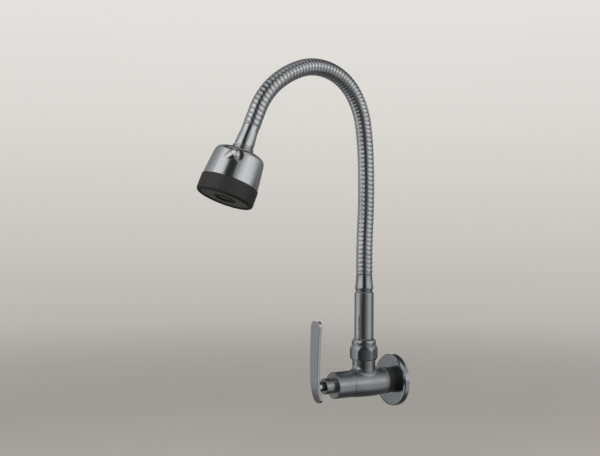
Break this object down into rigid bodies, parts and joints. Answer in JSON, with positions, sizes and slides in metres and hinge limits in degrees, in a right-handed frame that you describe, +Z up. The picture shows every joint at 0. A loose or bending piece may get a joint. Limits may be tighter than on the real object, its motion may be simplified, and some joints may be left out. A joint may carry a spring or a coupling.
{
  "type": "kitchen tap",
  "caption": "Wall-mounted kitchen tap for one feed: lever valve, swivelling tube, ribbed hose bent in an arch and a chromed spray head with a side toggle.",
  "frame": {"origin": "the inlet's axis at the plane of the wall", "axes": "+Y into the wall along the inlet, -Y forward into the room, +Z up"},
  "size_m": [0.056, 0.2341, 0.3552],
  "materials": {
    "chrome": "polished chrome plate",
    "hose_chrome": "polished chromed strip, wound and ribbed",
    "brass": "machined brass",
    "steel": "plain stainless steel",
    "rubber": "moulded black rubber",
    "ceramic": "lapped white ceramic",
    "black_plastic": "satin black moulded plastic",
    "face_plastic": "satin dark grey moulded plastic",
    "core_plastic": "moulded pale grey plastic"
  },
  "bodies": {
    "valve": {"wall_flange": "chrome", "inlet_tail": "brass", "valve_body": "chrome", "seat_seal": "rubber", "headwork_housing": "brass", "headwork_gasket": "rubber", "fixed_disc": "ceramic", "bonnet": "chrome", "gland_sleeve": "chrome", "spout_nut": "chrome", "slip_ring": "core_plastic"},
    "lever": {"lever": "chrome", "grub_screw": "steel", "spindle": "brass", "spindle_seal": "rubber", "turning_disc": "ceramic"},
    "spout": {"spout_foot": "brass", "spout_seal_lower": "rubber", "spout_seal_upper": "rubber", "spout_tube": "chrome", "lower_washer": "rubber", "lower_ferrule": "chrome", "hose_section_01": "hose_chrome"},
    "hose_02": {"hose_section_02": "hose_chrome"},
    "hose_03": {"hose_section_03": "hose_chrome"},
    "hose_04": {"hose_section_04": "hose_chrome"},
    "hose_05": {"hose_section_05": "hose_chrome"},
    "hose_06": {"hose_section_06": "hose_chrome"},
    "hose_07": {"hose_section_07": "hose_chrome"},
    "hose_08": {"hose_section_08": "hose_chrome"},
    "hose_09": {"hose_section_09": "hose_chrome"},
    "head": {"hose_section_10": "hose_chrome", "upper_ferrule": "chrome", "head_washer": "rubber", "head_collar": "chrome", "head_shell": "chrome", "toggle_seal": "rubber", "diverter_body": "core_plastic", "spray_skirt": "black_plastic", "face_seal": "rubber", "nozzle_plate": "face_plastic", "aerator_ring": "face_plastic", "aerator_mesh": "steel"},
    "toggle": {"toggle": "chrome", "toggle_pin": "steel", "diverter_vane": "core_plastic"}
  },
  "joints": [
    {"name": "lever_turn", "type": "hinge", "parent": "valve", "child": "lever", "pos_m": [0, -0.0815, 0], "axis": [0, -1, 0], "range_deg": [0, 90]},
    {"name": "spout_swivel", "type": "hinge", "parent": "valve", "child": "spout", "pos_m": [0, -0.039, 0.0341], "axis": [0, 0, 1], "range_deg": [-90, 90]},
    {"name": "hose_bend", "type": "hinge", "parent": "spout", "child": "hose_02", "pos_m": [0, -0.03884, 0.1429], "axis": [1, 0, 0], "range_deg": [-9, 9]},
    {"name": "hose_sway", "type": "hinge", "parent": "hose_02", "child": "hose_03", "pos_m": [0, -0.0375, 0.17727], "axis": [0, 0.9995, -0.0304], "range_deg": [-9, 9]},
    {"name": "hose_bend_03", "type": "hinge", "parent": "hose_03", "child": "hose_04", "pos_m": [0, -0.03733, 0.21167], "axis": [1, 0, 0], "range_deg": [-9, 9]},
    {"name": "hose_sway_04", "type": "hinge", "parent": "hose_04", "child": "hose_05", "pos_m": [0, -0.03892, 0.24602], "axis": [0, 0.9959, 0.091], "range_deg": [-9, 9]},
    {"name": "hose_bend_05", "type": "hinge", "parent": "hose_05", "child": "hose_06", "pos_m": [0, -0.04501, 0.27978], "axis": [1, 0, 0], "range_deg": [-9, 9]},
    {"name": "hose_sway_06", "type": "hinge", "parent": "hose_06", "child": "hose_07", "pos_m": [0, -0.06414, 0.30788], "axis": [0, 0.6295, 0.777], "range_deg": [-9, 9]},
    {"name": "hose_bend_07", "type": "hinge", "parent": "hose_07", "child": "hose_08", "pos_m": [0, -0.0958, 0.31975], "axis": [1, 0, 0], "range_deg": [-9, 9]},
    {"name": "hose_sway_08", "type": "hinge", "parent": "hose_08", "child": "hose_09", "pos_m": [0, -0.12864, 0.31107], "axis": [0, -0.4759, 0.8795], "range_deg": [-9, 9]},
    {"name": "hose_bend_09", "type": "hinge", "parent": "hose_09", "child": "head", "pos_m": [0, -0.15479, 0.28911], "axis": [1, 0, 0], "range_deg": [-9, 9]},
    {"name": "toggle_turn", "type": "hinge", "parent": "head", "child": "toggle", "pos_m": [0, -0.18479, 0.222], "axis": [0.788, -0.5708, 0.2306], "range_deg": [0, 36]}
  ],
  "couplings": [
    {"joint": "hose_bend_03", "follows": "hose_bend", "ratio": 1},
    {"joint": "hose_sway_04", "follows": "hose_sway", "ratio": 1},
    {"joint": "hose_bend_05", "follows": "hose_bend", "ratio": 1},
    {"joint": "hose_sway_06", "follows": "hose_sway", "ratio": 1},
    {"joint": "hose_bend_07", "follows": "hose_bend", "ratio": 1},
    {"joint": "hose_sway_08", "follows": "hose_sway", "ratio": 1},
    {"joint": "hose_bend_09", "follows": "hose_bend", "ratio": 1}
  ]
}
